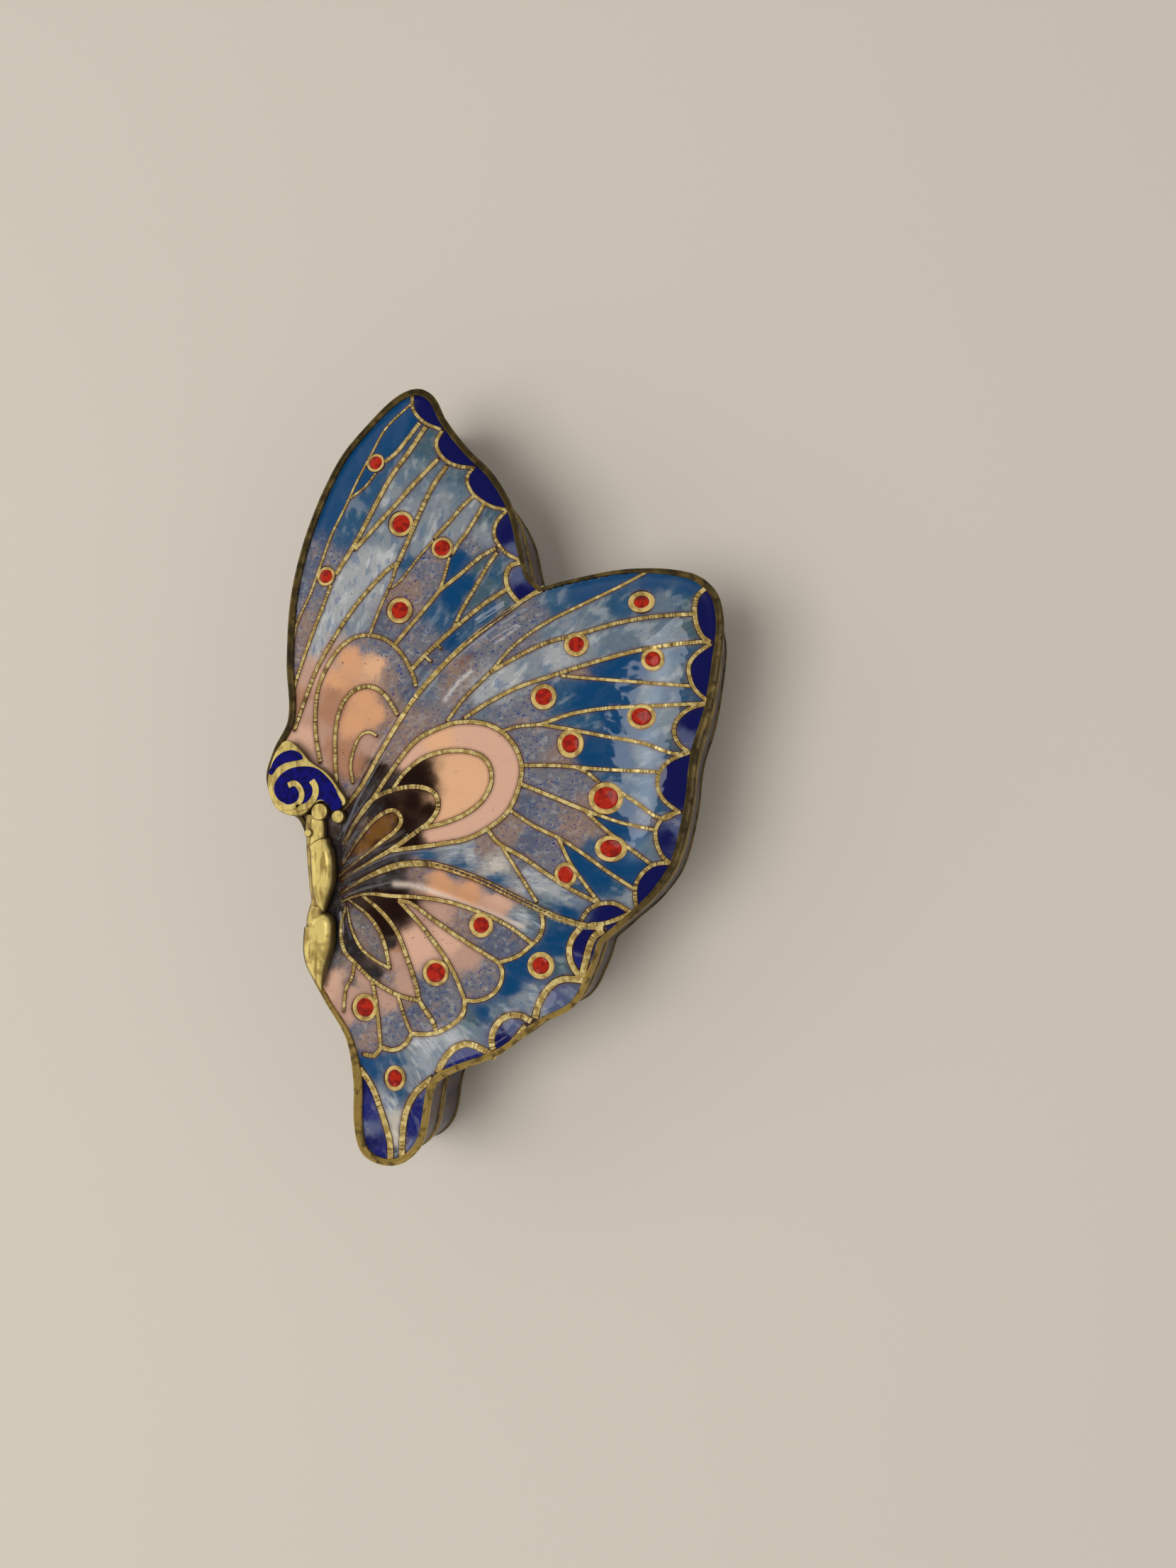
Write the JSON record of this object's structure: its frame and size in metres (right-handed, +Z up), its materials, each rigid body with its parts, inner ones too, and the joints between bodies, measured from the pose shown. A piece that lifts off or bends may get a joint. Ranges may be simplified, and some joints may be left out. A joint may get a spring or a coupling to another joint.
{
  "type": "brass trinket box",
  "caption": "Flat-bottomed butterfly-shaped trinket box: enamelled metal base and lift-off lid with brass rims, edge wire, head plate and body lying on the lid",
  "frame": {"origin": "centre of the bounding box, at the level of the underside that the box stands on", "axes": "+Z up, through the lid. -Y points along the tail of the butterfly, +Y to the upper wing's tip, +X to the forewing's tip. The body lies along the -X side"},
  "size_m": [0.0596, 0.1, 0.0195],
  "materials": {
    "wall_enamel": "glossy grey-blue enamel on copper",
    "top_enamel": "glossy turquoise, lilac and peach enamel between brass wires",
    "brass": "worn, finely scratched"
  },
  "bodies": {
    "root": {"base_shell": "wall_enamel", "base_rim": "brass", "lid_rim": "brass", "lid_shell": "top_enamel", "lid_edge_wire": "brass", "head_plate": "top_enamel", "neck": "brass", "thorax": "brass", "abdomen": "brass", "bead_upper": "brass", "bead_right": "brass", "bead_left": "brass"}
  },
  "joints": []
}
